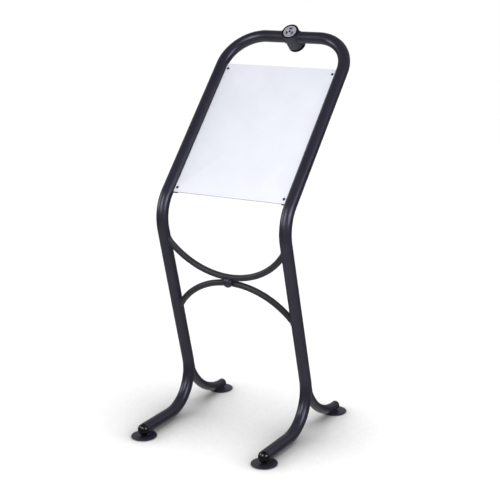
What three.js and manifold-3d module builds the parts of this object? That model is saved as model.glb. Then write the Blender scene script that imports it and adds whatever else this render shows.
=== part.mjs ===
// A floor-standing sign stand, in millimetres: +Z up, the reader stands on the -Y side, +X is to the right.
// Two bent steel side tubes meet in a hub at the top. Each one runs as front foot, leaning leg, knee,
// reclined upright, top corner and half of the top rail. Two arched stays and a boss tie the legs together,
// thinner rear feet leave the backs of the legs, and a flat panel is screwed to tabs between the uprights.
// The origin is on the floor, under the middle of the whole stand.
import * as THREE from 'three';
import { mergeVertices } from 'three/addons/utils/BufferGeometryUtils.js';
import Module from 'manifold-3d';

const wasm = await Module();
wasm.setup();

// Fit between neighbours
const GAP = 0.3;                        // clearance between any two pieces
const PLUG_FIT = 0.3;                   // radial clearance of a plug in its tube

// Main tube: the bent side tubes
const TUBE_RADIUS = 19.05;
const TUBE_WALL = 1.6;
const BEND_RADIUS = 124;                // every bend, measured to the tube's axis
const HALF_SPACING = 219;               // middle plane to the axis of a leg
const LEG_LENGTH = 708.8;               // foot corner to knee, between the corners of the bent line
const LEG_LEAN = THREE.MathUtils.degToRad(14.15);          // towards the reader, going up
const UPRIGHT_LENGTH = 685.4;           // knee to the top rail's axis
const RECLINE = THREE.MathUtils.degToRad(43.72);           // away from the reader, from the vertical
const FRONT_REACH = 303;                // foot corner to the open end of the front foot

// Thin tubes
const STAY_RADIUS = 10;
const STAY_WALL = 1.5;
const STAY_RISE = 129.4;                // height of each arch, between the tube axes
const STAY_BELOW_KNEE = 221.1;          // knee to the middle of the boss, along the leg
const REAR_RADIUS = 14.3;
const REAR_WALL = 1.5;
const REAR_ARC = 215;                   // radius of the rear foot's bend
const REAR_STRAIGHT = 4;                // level stretch at its end

// Feet
const PAD_THICKNESS = 1.8;
const PAD_INSET = 2.8;                  // pad's edge inside the disc's edge
const DISC_THICKNESS = 3;
const DISC_RADIUS = 40.8;
const REAR_DISC_INSET = 10;             // open end of the rear foot back to the middle of its disc
const FRONT_DOME = 18;                  // height of the plug's domed head
const REAR_DOME = 7;
const PLUG_RIM = 1.5;
const FRONT_STEM = 14;                  // how far each plug reaches into its tube
const REAR_STEM = REAR_STRAIGHT;

// Centre boss
const BOSS_SHY = 4.5;                   // how far the stays' outer sides run past the boss
const BOSS_WALL = 2;
const BOSS_FRONT = 16.4;                // stays' plane to the sleeve's front end
const BOSS_REAR = 6;
const BOSS_DOME = 9.5;

// Hub and badge
const HUB_RADIUS = 28.6;
const HUB_WALL = 2.5;
const HUB_FRONT = 25.8;                 // rail axis to the hub tube's front end
const HUB_REAR = 31.5;
const HUB_RIM = 3.5;                    // visible edge of the front cap
const HUB_REAR_RIM = 9.5;               // the same of the rear cap
const HUB_DOME = 8;
const HUB_STEM = 12;
const BADGE_INSET = 6.6;                // hub's edge to the badge's edge
const BADGE_THICKNESS = 1.2;
const BADGE_RECESS = 1.5;

// Sign panel and its fixings
const PANEL_SIDE_GAP = 1.8;             // panel's upper corner to the tube beside it
const PANEL_THICKNESS = 3;
const PANEL_START = 69.5;               // knee to the panel's lower edge, along the upright
const PANEL_BELOW_RAIL = 117.9;         // panel's upper edge to the rail's axis
const PANEL_FACE = -0.2;                // front face, from the plane of the upright axes
const SCREW_FROM_SIDE = 8.2;            // panel's side to a screw
const SCREW_ABOVE_EDGE = 16.2;          // panel's lower edge to the lower screws
const SCREW_BELOW_EDGE = 19.8;          // panel's upper edge to the upper screws
const TAB_REACH = 17;                   // tube's side to a tab's inner edge
const TAB_HEIGHT = 36;
const TAB_THICKNESS = 3;
const SCREW_RADIUS = 2.5;
const HEAD_RADIUS = 4.4;
const HEAD_HEIGHT = 2.2;
const WASHER_RADIUS = 5;
const WASHER_THICKNESS = 1;
const NUT_FLATS = 8;
const NUT_THICKNESS = 4;
const SCREW_TAIL = 1.9;                 // thread that shows behind the nut

// Fineness of the round shapes
const TUBE_SIDES = 20;
const REAR_SIDES = 16;
const STAY_SIDES = 12;
const ROUND_SIDES = 24;
const SMALL_SIDES = 12;
const BEND_STEP = Math.PI / 15;         // turn between two stations of a bend
const REAR_STEP = Math.PI / 24;
const STAY_STEPS = 16;

// Main points of the side outline, before it is centred on the origin
const ground = PAD_THICKNESS;
const footHeight = ground + DISC_THICKNESS + GAP + TUBE_RADIUS;
const footCorner = new THREE.Vector3(0, 0, footHeight);
const legDirection = new THREE.Vector3(0, -Math.sin(LEG_LEAN), Math.cos(LEG_LEAN));
const knee = footCorner.clone().addScaledVector(legDirection, LEG_LENGTH);
const uprightDirection = new THREE.Vector3(0, Math.sin(RECLINE), Math.cos(RECLINE));
const railMiddle = knee.clone().addScaledVector(uprightDirection, UPRIGHT_LENGTH);
const acrossSign = new THREE.Vector3(0, -Math.cos(RECLINE), Math.sin(RECLINE));   // out of the sign
const acrossLegs = new THREE.Vector3(0, -Math.cos(LEG_LEAN), -Math.sin(LEG_LEAN)); // forwards
const frontEdge = -FRONT_REACH - DISC_RADIUS;
const domeReach = Math.hypot(HUB_DOME * Math.cos(RECLINE), HUB_RADIUS * Math.sin(RECLINE));
const rearEdge = railMiddle.y + (HUB_REAR + HUB_REAR_RIM) * Math.cos(RECLINE) + domeReach;
const centring = new THREE.Vector3(0, -(frontEdge + rearEdge) / 2, 0);

const paint = { color: 0x3a3c48, roughness: 0.45, metalness: 0.35 };
const blackPlastic = { color: 0x111114, roughness: 0.2, metalness: 0 };
const whiteSheet = { color: 0xf4f6fb, roughness: 0.45, metalness: 0 };
const blackSteel = { color: 0x1c1c20, roughness: 0.35, metalness: 0.7 };
const zincSteel = { color: 0xb9bcc2, roughness: 0.35, metalness: 0.9 };
const badgeMetal = { color: 0xcfd1d6, roughness: 0.3, metalness: 0.8 };
const rubber = { color: 0x1b1b1b, roughness: 0.9, metalness: 0 };

const stand = new THREE.Group();
const body = new THREE.Group();
body.position.copy(centring);
stand.add(body);

// A path through given points with a round bend at each corner between them. Its stations are the two
// ends and the points of each bend, so straight stretches stay one step long.
class BentPath extends THREE.Curve {
  constructor(corners, radius, stepAngle) {
    super();
    this.points = [corners[0]];
    this.tangents = [corners[1].clone().sub(corners[0]).normalize()];
    for (let i = 1; i < corners.length - 1; i += 1) {
      const before = corners[i].clone().sub(corners[i - 1]).normalize();
      const after = corners[i + 1].clone().sub(corners[i]).normalize();
      const turn = before.angleTo(after);
      const start = corners[i].clone().addScaledVector(before, -radius * Math.tan(turn / 2));
      const inward = after.clone().addScaledVector(before, -after.dot(before)).normalize();
      const steps = Math.ceil(turn / stepAngle);
      for (let k = 0; k <= steps; k += 1) {
        const angle = (turn * k) / steps;
        const point = start.clone();
        point.addScaledVector(before, radius * Math.sin(angle));
        point.addScaledVector(inward, radius * (1 - Math.cos(angle)));
        const tangent = before.clone().multiplyScalar(Math.cos(angle));
        tangent.addScaledVector(inward, Math.sin(angle));
        this.points.push(point);
        this.tangents.push(tangent);
      }
    }
    this.points.push(corners[corners.length - 1]);
    this.tangents.push(this.tangents[this.tangents.length - 1].clone());
    this.steps = this.points.length - 1;
  }

  getPointAt(u, target = new THREE.Vector3()) {
    return target.copy(this.points[Math.round(u * this.steps)]);
  }

  getTangentAt(u, target = new THREE.Vector3()) {
    return target.copy(this.tangents[Math.round(u * this.steps)]);
  }
}

// A round arc in space: centre, direction of its middle, direction of travel there, and half its angle.
class ArcPath extends THREE.Curve {
  constructor(centre, middle, travel, radius, halfAngle, steps) {
    super();
    Object.assign(this, { centre, middle, travel, radius, halfAngle, steps });
  }

  getPointAt(u, target = new THREE.Vector3()) {
    const angle = (2 * u - 1) * this.halfAngle;
    target.copy(this.centre);
    target.addScaledVector(this.middle, this.radius * Math.cos(angle));
    return target.addScaledVector(this.travel, this.radius * Math.sin(angle));
  }

  getTangentAt(u, target = new THREE.Vector3()) {
    const angle = (2 * u - 1) * this.halfAngle;
    target.copy(this.travel).multiplyScalar(Math.cos(angle));
    return target.addScaledVector(this.middle, -Math.sin(angle));
  }
}

function ring(radius, bore) {
  const shape = new THREE.Shape().absarc(0, 0, radius, 0, 2 * Math.PI);
  if (bore > 0) {
    shape.holes.push(new THREE.Path().absarc(0, 0, bore, 0, 2 * Math.PI, true));
  }
  return shape;
}

// A section swept along a path; bore 0 makes a solid rod.
function tubeGeometry(path, radius, bore, sides) {
  const options = { steps: path.steps, curveSegments: sides / 2, extrudePath: path, bevelEnabled: false };
  return new THREE.ExtrudeGeometry(ring(radius, bore), options);
}

// A turned piece whose axis is +Z: its profile is a list of [radius, height] pairs.
function turned(profile, sides) {
  const points = profile.map(([radius, height]) => new THREE.Vector2(radius, height));
  return new THREE.LatheGeometry(points, sides).rotateX(Math.PI / 2);
}

function washerGeometry(radius, bore, low, high, sides) {
  return turned([[bore, low], [radius, low], [radius, high], [bore, high], [bore, low]], sides);
}

function rodGeometry(radius, low, high, sides) {
  return turned([[0, low], [radius, low], [radius, high], [0, high]], sides);
}

// A plug's profile: stem from -stem to 0, a rim and an elliptical dome above it.
function domedPlug(stemRadius, stem, headRadius, rim, dome, sides) {
  const profile = [[0, -stem], [stemRadius, -stem], [stemRadius, GAP], [headRadius, GAP]];
  const rings = 4;
  for (let k = 0; k < rings; k += 1) {
    const angle = (k / rings) * (Math.PI / 2);
    profile.push([headRadius * Math.cos(angle), rim + dome * Math.sin(angle)]);
  }
  profile.push([0, rim + dome]);
  return turned(profile, sides);
}

function toSolid(geometry) {
  const plain = geometry.clone();
  plain.deleteAttribute('normal');
  plain.deleteAttribute('uv');
  const merged = mergeVertices(plain, 1e-4);
  const mesh = new wasm.Mesh({
    numProp: 3,
    vertProperties: new Float32Array(merged.attributes.position.array),
    triVerts: new Uint32Array(merged.index.array),
  });
  return new wasm.Manifold(mesh);
}

function toGeometry(solid) {
  const mesh = solid.getMesh();
  const geometry = new THREE.BufferGeometry();
  geometry.setAttribute('position', new THREE.BufferAttribute(mesh.vertProperties, 3));
  geometry.setIndex(new THREE.BufferAttribute(mesh.triVerts, 1));
  geometry.computeVertexNormals();
  return geometry;
}

function cut(geometry, cutters) {
  let solid = toSolid(geometry);
  for (const cutter of cutters) {
    solid = solid.subtract(toSolid(cutter));
  }
  return toGeometry(solid);
}

// Puts a geometry whose axis is +Z at a place, with that axis along a direction.
function aimed(geometry, place, direction) {
  const turn = new THREE.Quaternion().setFromUnitVectors(new THREE.Vector3(0, 0, 1), direction);
  return geometry.applyQuaternion(turn).translate(place.x, place.y, place.z);
}

function add(name, geometry, look) {
  const mesh = new THREE.Mesh(geometry, new THREE.MeshStandardMaterial(look));
  mesh.name = name;
  body.add(mesh);
}

const SIDES = [['left', -1], ['right', 1]];
const UP = new THREE.Vector3(0, 0, 1);
const ACROSS = new THREE.Vector3(1, 0, 0);

// The axis of a side tube, from the open end of its foot to the middle of the rail
function sidePath(sign) {
  const x = sign * HALF_SPACING;
  const corners = [
    new THREE.Vector3(x, -FRONT_REACH, footHeight),
    footCorner.clone().setX(x),
    knee.clone().setX(x),
    railMiddle.clone().setX(x),
    railMiddle.clone().setX(sign * TUBE_RADIUS / 2),
  ];
  return new BentPath(corners, BEND_RADIUS, BEND_STEP);
}

// The whole side tube as a solid rod, a gap larger: it cuts what meets the tube.
function sideCutter(sign) {
  return tubeGeometry(sidePath(sign), TUBE_RADIUS + GAP, 0, TUBE_SIDES);
}

// Side tubes: foot, leg, upright and half rail in one bent tube, coped to the hub
function sideTubes() {
  const reach = HUB_REAR + HUB_REAR_RIM;
  for (const [side, sign] of SIDES) {
    const tube = tubeGeometry(sidePath(sign), TUBE_RADIUS, TUBE_RADIUS - TUBE_WALL, TUBE_SIDES);
    const hub = aimed(rodGeometry(HUB_RADIUS + GAP, -reach, reach, ROUND_SIDES), railMiddle, acrossSign);
    add(`${side}_side_tube`, cut(tube, [hub]), paint);
  }
}

// Rear feet: the tube's axis runs into the leg's axis on a tangent arc and ends level
const rearHeight = ground + DISC_THICKNESS + GAP + REAR_RADIUS;
const rearTurn = Math.PI / 2 - LEG_LEAN;
const arcRise = REAR_ARC * (1 - Math.cos(rearTurn));
const joinPlace = (rearHeight + arcRise - footHeight) / Math.cos(LEG_LEAN);
const arcEnd = REAR_ARC * Math.sin(rearTurn) - joinPlace * Math.sin(LEG_LEAN);
const rearEnd = arcEnd + REAR_STRAIGHT;

function rearFeet() {
  const bore = REAR_RADIUS - REAR_WALL;
  for (const [side, sign] of SIDES) {
    const x = sign * HALF_SPACING;
    const corner = REAR_ARC * Math.tan(rearTurn / 2);
    const bend = new THREE.Vector3(x, arcEnd - corner, rearHeight);
    const start = bend.clone().addScaledVector(legDirection, corner + REAR_STRAIGHT);
    const end = new THREE.Vector3(x, rearEnd, rearHeight);
    const path = new BentPath([start, bend, end], REAR_ARC, REAR_STEP);
    const tube = tubeGeometry(path, REAR_RADIUS, bore, REAR_SIDES);
    add(`${side}_rear_foot`, cut(tube, [sideCutter(sign)]), paint);
  }
}

// Arched stays: two arcs back to back in the plane of the legs, coped to the legs and the boss
const bossPlace = knee.clone().addScaledVector(legDirection, -STAY_BELOW_KNEE);
const stayOffset = STAY_RADIUS + GAP;
const bossRadius = stayOffset + STAY_RADIUS - BOSS_SHY;

function stays() {
  const arc = (HALF_SPACING ** 2 + STAY_RISE ** 2) / (2 * STAY_RISE);
  const half = Math.asin(HALF_SPACING / arc);
  const bossReach = BOSS_FRONT + STAY_RADIUS;
  for (const [name, sign] of [['upper_stay', 1], ['lower_stay', -1]]) {
    const centre = bossPlace.clone().addScaledVector(legDirection, sign * (stayOffset + arc));
    const middle = legDirection.clone().multiplyScalar(-sign);
    const path = new ArcPath(centre, middle, ACROSS, arc, half, STAY_STEPS);
    const tube = tubeGeometry(path, STAY_RADIUS, STAY_RADIUS - STAY_WALL, STAY_SIDES);
    const rod = rodGeometry(bossRadius + GAP, -bossReach, bossReach, ROUND_SIDES);
    const boss = aimed(rod, bossPlace, acrossLegs);
    add(name, cut(tube, [sideCutter(-1), sideCutter(1), boss]), paint);
  }
}

function centreBoss() {
  const bore = bossRadius - BOSS_WALL;
  const sleeve = washerGeometry(bossRadius, bore, -BOSS_REAR, BOSS_FRONT, ROUND_SIDES);
  add('centre_boss', aimed(sleeve, bossPlace, acrossLegs), paint);
  for (const [name, sign, end] of [['boss_cap_front', 1, BOSS_FRONT], ['boss_cap_rear', -1, BOSS_REAR]]) {
    const stem = end - BOSS_WALL;
    const cap = domedPlug(bore - PLUG_FIT, stem, bossRadius, PLUG_RIM, BOSS_DOME, ROUND_SIDES);
    const outward = acrossLegs.clone().multiplyScalar(sign);
    const place = bossPlace.clone().addScaledVector(outward, end);
    add(name, aimed(cap, place, outward), paint);
  }
}

// Hub: a short tube through the top rail, a capped badge in front and a domed plug behind
function hub() {
  const bore = HUB_RADIUS - HUB_WALL;
  const inside = bore - PLUG_FIT;
  const sleeve = washerGeometry(HUB_RADIUS, bore, -HUB_REAR, HUB_FRONT, ROUND_SIDES);
  add('hub_tube', aimed(sleeve, railMiddle, acrossSign), paint);

  const front = railMiddle.clone().addScaledVector(acrossSign, HUB_FRONT);
  const badgeRadius = HUB_RADIUS - BADGE_INSET;
  const recess = badgeRadius + GAP;
  const floor = HUB_RIM - BADGE_RECESS;
  const cap = turned([
    [0, -HUB_STEM], [inside, -HUB_STEM], [inside, GAP], [HUB_RADIUS, GAP],
    [HUB_RADIUS, HUB_RIM], [recess, HUB_RIM], [recess, floor], [0, floor],
  ], ROUND_SIDES);
  add('hub_front_cap', aimed(cap, front, acrossSign), blackPlastic);
  const badge = rodGeometry(badgeRadius, floor + GAP, floor + GAP + BADGE_THICKNESS, ROUND_SIDES);
  add('badge', aimed(badge, front, acrossSign), badgeMetal);

  const rearward = acrossSign.clone().negate();
  const rear = railMiddle.clone().addScaledVector(rearward, HUB_REAR);
  const plug = domedPlug(inside, HUB_STEM, HUB_RADIUS, HUB_REAR_RIM, HUB_DOME, ROUND_SIDES);
  add('hub_rear_cap', aimed(plug, rear, rearward), blackPlastic);
}

// Feet: plugs in the tube ends, steel discs under them and soft pads under the discs
function feet() {
  const inFront = {
    end: 'front', way: -1, y: -FRONT_REACH, height: footHeight, discY: -FRONT_REACH,
    radius: TUBE_RADIUS, wall: TUBE_WALL, dome: FRONT_DOME, stem: FRONT_STEM,
  };
  const behind = {
    end: 'rear', way: 1, y: rearEnd, height: rearHeight, discY: rearEnd - REAR_DISC_INSET,
    radius: REAR_RADIUS, wall: REAR_WALL, dome: REAR_DOME, stem: REAR_STEM,
  };
  for (const [side, sign] of SIDES) {
    const x = sign * HALF_SPACING;
    for (const { end, way, y, height, discY, radius, wall, dome, stem } of [inFront, behind]) {
      const stemRadius = radius - wall - PLUG_FIT;
      const plug = domedPlug(stemRadius, stem, radius, PLUG_RIM, dome, TUBE_SIDES);
      const outward = new THREE.Vector3(0, way, 0);
      add(`${side}_${end}_plug`, aimed(plug, new THREE.Vector3(x, y, height), outward), blackPlastic);
      const disc = rodGeometry(DISC_RADIUS, ground, ground + DISC_THICKNESS, ROUND_SIDES);
      add(`${side}_${end}_disc`, aimed(disc, new THREE.Vector3(x, discY, 0), UP), paint);
      const pad = rodGeometry(DISC_RADIUS - PAD_INSET, 0, ground - GAP, ROUND_SIDES);
      add(`${side}_${end}_pad`, aimed(pad, new THREE.Vector3(x, discY, 0), UP), rubber);
    }
  }
}

// A hexagon nut with a round bore, standing on a given height
function nutGeometry(bore, low) {
  const shape = new THREE.Shape();
  for (let k = 0; k < 6; k += 1) {
    const angle = (k * Math.PI) / 3;
    const corner = NUT_FLATS / Math.sqrt(3);
    const x = corner * Math.cos(angle);
    const y = corner * Math.sin(angle);
    if (k === 0) {
      shape.moveTo(x, y);
    } else {
      shape.lineTo(x, y);
    }
  }
  shape.holes.push(new THREE.Path().absarc(0, 0, bore, 0, 2 * Math.PI, true));
  const options = { depth: NUT_THICKNESS, curveSegments: SMALL_SIDES / 2, bevelEnabled: false };
  return new THREE.ExtrudeGeometry(shape, options).translate(0, 0, low);
}

// Sign panel and fixings, built flat: X across, Y up the upright from the knee, Z out of the sign
function signPanel() {
  const sloped = new THREE.Matrix4().makeBasis(ACROSS, uprightDirection, acrossSign).setPosition(knee);
  const panelBack = PANEL_FACE - PANEL_THICKNESS;
  const tabFront = panelBack - GAP;
  const tabBack = tabFront - TAB_THICKNESS;
  const washerFront = tabBack - GAP;
  const nutFront = washerFront - WASHER_THICKNESS - GAP;
  const screwEnd = nutFront - NUT_THICKNESS - SCREW_TAIL;
  const hole = SCREW_RADIUS + GAP;
  const panelTop = UPRIGHT_LENGTH - PANEL_BELOW_RAIL;
  const tubeSide = HALF_SPACING - TUBE_RADIUS;
  const intoBend = Math.max(0, BEND_RADIUS - PANEL_BELOW_RAIL);
  const bendInset = BEND_RADIUS - Math.sqrt(BEND_RADIUS ** 2 - intoBend ** 2);
  const panelSide = tubeSide - bendInset - PANEL_SIDE_GAP;
  const screwAcross = panelSide - SCREW_FROM_SIDE;
  const tabEdge = tubeSide - TAB_REACH;
  const rows = [['lower', PANEL_START + SCREW_ABOVE_EDGE], ['upper', panelTop - SCREW_BELOW_EDGE]];

  const sheet = new THREE.BoxGeometry(2 * panelSide, panelTop - PANEL_START, PANEL_THICKNESS);
  sheet.translate(0, (PANEL_START + panelTop) / 2, PANEL_FACE - PANEL_THICKNESS / 2);
  const drills = [];
  for (const [, sign] of SIDES) {
    for (const [, y] of rows) {
      const drill = rodGeometry(hole, tabBack - GAP, PANEL_FACE + GAP, SMALL_SIDES);
      drills.push(drill.translate(sign * screwAcross, y, 0));
    }
  }
  add('sign_panel', cut(sheet, drills).applyMatrix4(sloped), whiteSheet);

  const tabWidth = HALF_SPACING - tabEdge;
  for (const [side, sign] of SIDES) {
    const x = sign * screwAcross;
    for (const [row, y] of rows) {
      const plate = new THREE.BoxGeometry(tabWidth, TAB_HEIGHT, TAB_THICKNESS);
      plate.translate(sign * (tabEdge + tabWidth / 2), y, (tabFront + tabBack) / 2);
      const drilled = cut(plate, drills).applyMatrix4(sloped);
      add(`${side}_${row}_tab`, cut(drilled, [sideCutter(sign)]), paint);

      const place = (geometry) => geometry.translate(x, y, 0).applyMatrix4(sloped);
      const headLow = PANEL_FACE + GAP;
      const screw = turned([
        [0, screwEnd], [SCREW_RADIUS, screwEnd], [SCREW_RADIUS, headLow], [HEAD_RADIUS, headLow],
        [HEAD_RADIUS * 0.8, headLow + HEAD_HEIGHT * 0.75], [0, headLow + HEAD_HEIGHT],
      ], SMALL_SIDES);
      add(`${side}_${row}_screw`, place(screw), blackSteel);
      const washerBack = washerFront - WASHER_THICKNESS;
      const washer = washerGeometry(WASHER_RADIUS, hole, washerBack, washerFront, SMALL_SIDES);
      add(`${side}_${row}_washer`, place(washer), zincSteel);
      const nut = nutGeometry(hole, nutFront - NUT_THICKNESS);
      add(`${side}_${row}_nut`, place(nut), zincSteel);
    }
  }
}

sideTubes();
rearFeet();
stays();
centreBoss();
hub();
feet();
signPanel();

export default stand;
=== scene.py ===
# A floor-standing sign stand: a dark tube frame with arched stays, a reclined white panel and a round
# hub with a badge. Metres, +Z up, the reader stands on the -Y side and +X is to the reader's right.
import math

import bpy
import numpy as np
from mathutils import Matrix, Vector


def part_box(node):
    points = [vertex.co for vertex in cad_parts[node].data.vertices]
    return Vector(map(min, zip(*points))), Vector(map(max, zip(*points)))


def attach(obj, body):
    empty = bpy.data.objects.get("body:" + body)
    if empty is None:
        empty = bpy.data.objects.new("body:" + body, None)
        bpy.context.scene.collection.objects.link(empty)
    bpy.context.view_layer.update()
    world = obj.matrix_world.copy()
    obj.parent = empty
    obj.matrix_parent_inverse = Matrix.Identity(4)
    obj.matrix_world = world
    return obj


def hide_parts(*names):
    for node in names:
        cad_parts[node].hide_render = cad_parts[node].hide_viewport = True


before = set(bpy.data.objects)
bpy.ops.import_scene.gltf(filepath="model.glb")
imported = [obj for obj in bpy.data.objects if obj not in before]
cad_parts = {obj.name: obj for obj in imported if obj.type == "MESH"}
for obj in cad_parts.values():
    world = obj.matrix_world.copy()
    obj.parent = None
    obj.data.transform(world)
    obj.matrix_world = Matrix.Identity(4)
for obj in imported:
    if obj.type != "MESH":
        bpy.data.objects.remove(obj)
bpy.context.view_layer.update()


# --------------------------------------------------
# Side tubes: two lengths of welded steel tube, 38 mm across, cold-bent on one former into a front
# foot, a leaning leg, a reclined upright and half of the top rail. Blasted and powder coated in a
# semi-gloss anthracite after all welding, so the coat runs on over every joint.
TUBE_WALL = 0.0016
BEND_RADIUS = 0.124
BOSS_SET_FORWARD = 0.0052        # the boss sleeve's middle lies this far before the stays' plane
LEG_LEAN = math.radians(14.15)
RECLINE = math.radians(43.72)
HUB_SET_BACK = 0.00285           # the hub's middle lies this far behind the rail's axis
TUBE_SIDES = 64
BEND_STEP = math.radians(1.5)    # turn between two rings of a bend
STRAIGHT_STEP = 0.02             # distance between two rings of a straight stretch


def unit(vector):
    """The vector divided by its length, along the last axis."""
    vector = np.asarray(vector, float)
    return vector / np.linalg.norm(vector, axis=-1, keepdims=True)


def middle_of(node):
    """The middle of a CAD node's box."""
    low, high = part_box(node)
    return (np.array(low) + np.array(high)) / 2


def size_of(node):
    """The three sides of a CAD node's box."""
    low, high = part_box(node)
    return np.array(high) - np.array(low)


across = np.array([1.0, 0.0, 0.0])
leg_up = np.array([0.0, -math.sin(LEG_LEAN), math.cos(LEG_LEAN)])
leg_front = np.array([0.0, -math.cos(LEG_LEAN), -math.sin(LEG_LEAN)])
upright_up = np.array([0.0, math.sin(RECLINE), math.cos(RECLINE)])
sign_front = np.array([0.0, -math.cos(RECLINE), math.sin(RECLINE)])

tube_radius = size_of("left_front_plug")[0] / 2
half_spacing = middle_of("right_front_plug")[0]
foot_height = middle_of("left_front_plug")[2]
foot_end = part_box("left_side_tube")[0].y
boss_middle = middle_of("centre_boss") - BOSS_SET_FORWARD * leg_front
rail_middle = middle_of("hub_tube") + HUB_SET_BACK * sign_front

# The knee is where the leg's axis, through the boss, meets the upright's axis, through the rail.
to_rail = rail_middle - boss_middle
leg_share, _ = np.linalg.solve(np.stack([leg_up[1:], upright_up[1:]], 1), to_rail[1:])
knee = boss_middle + leg_share * leg_up
foot_corner = knee + (foot_height - knee[2]) / leg_up[2] * leg_up


def straight(start, end):
    """Points at even distances from start up to, but without, end."""
    steps = max(1, round(float(np.linalg.norm(end - start)) / STRAIGHT_STEP))
    return start + np.linspace(0, 1, steps, endpoint=False)[:, None] * (end - start)


def bent_line(corners, radius):
    """Points and directions along straight stretches with round bends. Each inner corner becomes an
    arc: its start plus radius times (sin a along the way in, and 1 - cos a towards the way out)."""
    corners = [np.asarray(corner, float) for corner in corners]
    points, directions = [], []
    last = corners[0]
    for before, corner, after in zip(corners, corners[1:], corners[2:]):
        way_in, way_out = unit(corner - before), unit(after - corner)
        turn = math.acos(float(way_in @ way_out))
        inward = unit(way_out - (way_out @ way_in) * way_in)
        start = corner - radius * math.tan(turn / 2) * way_in
        run = straight(last, start)
        angle = np.linspace(0, turn, round(turn / BEND_STEP) + 1)[:, None]
        bend = start + radius * (np.sin(angle) * way_in + (1 - np.cos(angle)) * inward)
        points += [run, bend[:-1]]
        directions += [np.broadcast_to(way_in, run.shape)]
        directions += [(np.cos(angle) * way_in + np.sin(angle) * inward)[:-1]]
        last = bend[-1]
    way = unit(corners[-1] - last)
    run = np.vstack([straight(last, corners[-1]), corners[-1]])
    points.append(run)
    directions.append(np.broadcast_to(way, run.shape))
    return np.vstack(points), np.vstack(directions)


def rings_along(points, directions, side, radius, sides=TUBE_SIDES):
    """Circles square to a path: point + radius * (cos t * first + sin t * second), where second is
    square to the path's direction and to side, and first is square to both. The radius is one number,
    one for each ring, or one for each point of each ring."""
    second = unit(np.cross(directions, side))
    first = np.cross(second, directions)
    turn = np.linspace(0, 2 * math.pi, sides, endpoint=False)[:, None]
    reach = np.asarray(radius, float)
    reach = reach if reach.ndim == 2 else np.broadcast_to(reach, len(points))[:, None]
    spokes = np.cos(turn) * first[:, None] + np.sin(turn) * second[:, None]
    return points[:, None] + reach[..., None] * spokes


def skin(rings, ends="fans"):
    """A closed shell through rings of points, an array of rings x points x 3. With ends "loop" the last
    ring joins the first, and with "fans" each end closes to its middle. Faces are turned outwards by
    the sign of the volume, the sum of a . (b x c) over the triangles."""
    count, around = rings.shape[:2]
    vertices = rings.reshape(-1, 3)
    rows = np.arange(count if ends == "loop" else count - 1)[:, None]
    column = np.arange(around)[None]
    beside = (column + 1) % around
    here, onward = rows * around, (rows + 1) % count * around
    corners = (here + column, here + beside, onward + beside, onward + column)
    quads = np.stack(np.broadcast_arrays(*corners), -1).reshape(-1, 4)
    triangles = np.zeros((0, 3), int)
    if ends == "fans":
        poles = len(vertices)
        vertices = np.vstack([vertices, rings[[0, -1]].mean(1)])
        edge, final = np.arange(around), (count - 1) * around
        first_fan = np.stack([np.roll(edge, -1), edge, np.full(around, poles)], 1)
        last_fan = np.stack([final + edge, final + np.roll(edge, -1), np.full(around, poles + 1)], 1)
        triangles = np.vstack([first_fan, last_fan])
    halves = np.vstack([quads[:, [0, 1, 2]], quads[:, [0, 2, 3]], triangles])
    a, b, c = (vertices[halves[:, k]] - vertices.mean(0) for k in range(3))
    if np.einsum("ij,ij->i", a, np.cross(b, c)).sum() < 0:
        quads, triangles = quads[:, ::-1], triangles[:, ::-1]
    return vertices, quads.tolist() + triangles.tolist()


def build(name, shells, crease=40):
    """One object from one or more closed shells, smooth except at edges sharper than the crease."""
    vertices, faces, used = [], [], 0
    for points, shell_faces in shells:
        vertices.append(points)
        faces += [[corner + used for corner in face] for face in shell_faces]
        used += len(points)
    mesh = bpy.data.meshes.new(name)
    mesh.from_pydata(np.vstack(vertices).tolist(), [], faces)
    mesh.shade_smooth()
    mesh.set_sharp_from_angle(angle=math.radians(crease))
    piece = bpy.data.objects.new(name, mesh)
    bpy.context.scene.collection.objects.link(piece)
    return piece


def hollow_tube(path, side, radius, wall, sides=TUBE_SIDES):
    """A tube with a real wall: the outer rings along the path, then the inner rings back again."""
    outer = rings_along(*path, side, radius, sides)
    inner = rings_along(*path, side, radius - wall, sides)
    return skin(np.concatenate([outer, inner[::-1]]), "loop")


def linear(hex_colour):
    """A linear RGBA colour from an sRGB hex value."""
    channels = [int(hex_colour[i:i + 2], 16) / 255 for i in (1, 3, 5)]
    return [c / 12.92 if c <= 0.04045 else ((c + 0.055) / 1.055) ** 2.4 for c in channels] + [1.0]


def add_node(material, kind, options=None, inputs=None, stops=()):
    """Adds a node, sets its options, sets or links each input by its name or number, and gives a colour
    ramp its stops, which are pairs of a place and a colour."""
    tree = material.node_tree
    node = tree.nodes.new(kind)
    for option, value in (options or {}).items():
        setattr(node, option, value)
    for socket, value in (inputs or {}).items():
        if isinstance(value, bpy.types.NodeSocket):
            tree.links.new(value, node.inputs[socket])
        else:
            node.inputs[socket].default_value = value
    ramp = node.color_ramp.elements if stops else ()
    while len(ramp) < len(stops):
        ramp.new(0.5)
    for stop, (place, colour) in zip(ramp, stops):
        stop.position = place
        stop.color = colour
    return node


def new_material(name):
    """A material with an empty node tree and its Object coordinates."""
    material = bpy.data.materials.new(name)
    material.use_nodes = True
    material.node_tree.nodes.clear()
    place = add_node(material, "ShaderNodeTexCoord").outputs["Object"]
    return material, place


SHADE_PLACES = (0.35, 0.65)      # a noise is mostly between these, so the two shades are set here


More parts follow.
